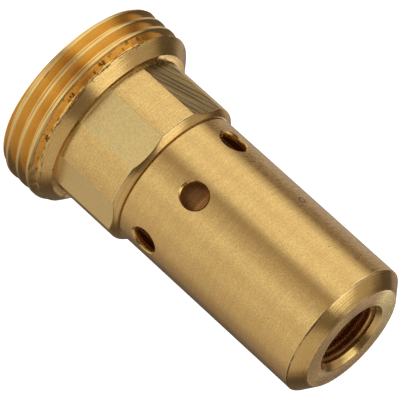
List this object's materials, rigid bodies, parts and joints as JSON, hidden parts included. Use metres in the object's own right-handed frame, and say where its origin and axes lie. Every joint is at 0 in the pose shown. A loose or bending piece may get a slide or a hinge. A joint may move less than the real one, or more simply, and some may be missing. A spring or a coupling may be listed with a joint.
{
  "type": "water pressure regulator",
  "caption": "Vented piston-type inline water pressure regulator: brass body with a threaded collar, flatted neck, vented barrel and bevelled nose with a threaded port, cartridge inside.",
  "frame": {"origin": "centre of the collar's back face, on which the regulator stands", "axes": "+Z along the axis from the collar (inlet) to the nose (outlet port); one neck flat and one vent of the upper row face -Y"},
  "size_m": [0.0264, 0.0264, 0.0487],
  "materials": {
    "brass_body": "turned, satin, with fine turning lines and bright milled flats",
    "brass_turned": "turned, satin",
    "spring_steel": "drawn wire, dull",
    "stainless_sheet": "rolled sheet, satin",
    "stainless_turned": "turned and polished",
    "seal_rubber": "smooth moulded",
    "white_plastic": "smooth, slightly waxy",
    "seat_plastic": "machined, matte"
  },
  "bodies": {
    "housing": {"body": "brass_body", "retaining_ring": "spring_steel", "inlet_strainer": "stainless_sheet", "seat_carrier": "brass_turned", "valve_seat": "seat_plastic", "seat_retainer": "brass_turned", "stem_guide": "brass_turned", "guide_seal": "seal_rubber", "stem_seal": "seal_rubber", "stem_backup_ring": "white_plastic", "gland_ring": "brass_turned", "stem_wiper": "seal_rubber", "spring_washer_fixed": "stainless_sheet", "spring_shims": "stainless_sheet", "main_spring": "spring_steel", "stop_ring": "seat_plastic"},
    "piston": {"piston_head": "brass_turned", "piston_seal": "seal_rubber", "piston_wear_ring": "white_plastic", "piston_stem": "stainless_turned", "stem_head_seal": "seal_rubber", "stem_nut": "brass_turned", "spring_washer_moving": "stainless_sheet"}
  },
  "joints": [
    {"name": "piston_slide", "type": "slide", "parent": "housing", "child": "piston", "axis": [0, 0, -1], "range_m": [0, 0.0016], "stiffness_N_per_m": 5200, "springref_m": -0.0115, "deforming": ["main_spring"]}
  ]
}
